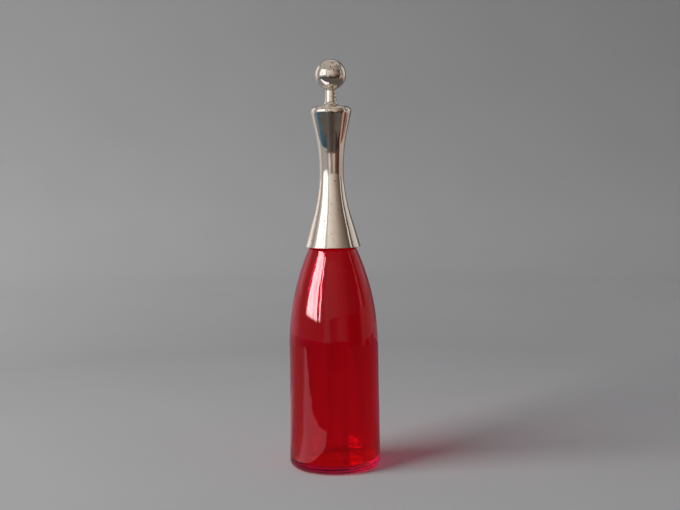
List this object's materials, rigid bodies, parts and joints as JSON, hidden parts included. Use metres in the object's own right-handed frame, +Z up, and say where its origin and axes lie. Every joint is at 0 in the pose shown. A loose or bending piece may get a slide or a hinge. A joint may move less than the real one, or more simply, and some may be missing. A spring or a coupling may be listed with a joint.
{
  "type": "glass carafe",
  "caption": "Tall hollow carafe of ruby glass with round shoulders, a flared spun metal collar over its neck and a ball stopper standing in the mouth.",
  "frame": {"origin": "centre of the round base, on the surface that it stands on", "axes": "+Z up along the axis of the body, the collar and the stopper; the shape is turned, so X and Y are free"},
  "size_m": [0.0832, 0.0832, 0.37],
  "materials": {
    "ruby_glass": "clear, deep red through its body, smooth and glossy",
    "silver_plate": "polished warm silver with fine wipe marks and small dull specks"
  },
  "bodies": {
    "root": {"glass_body": "ruby_glass", "collar": "silver_plate", "stopper": "silver_plate"}
  },
  "joints": []
}
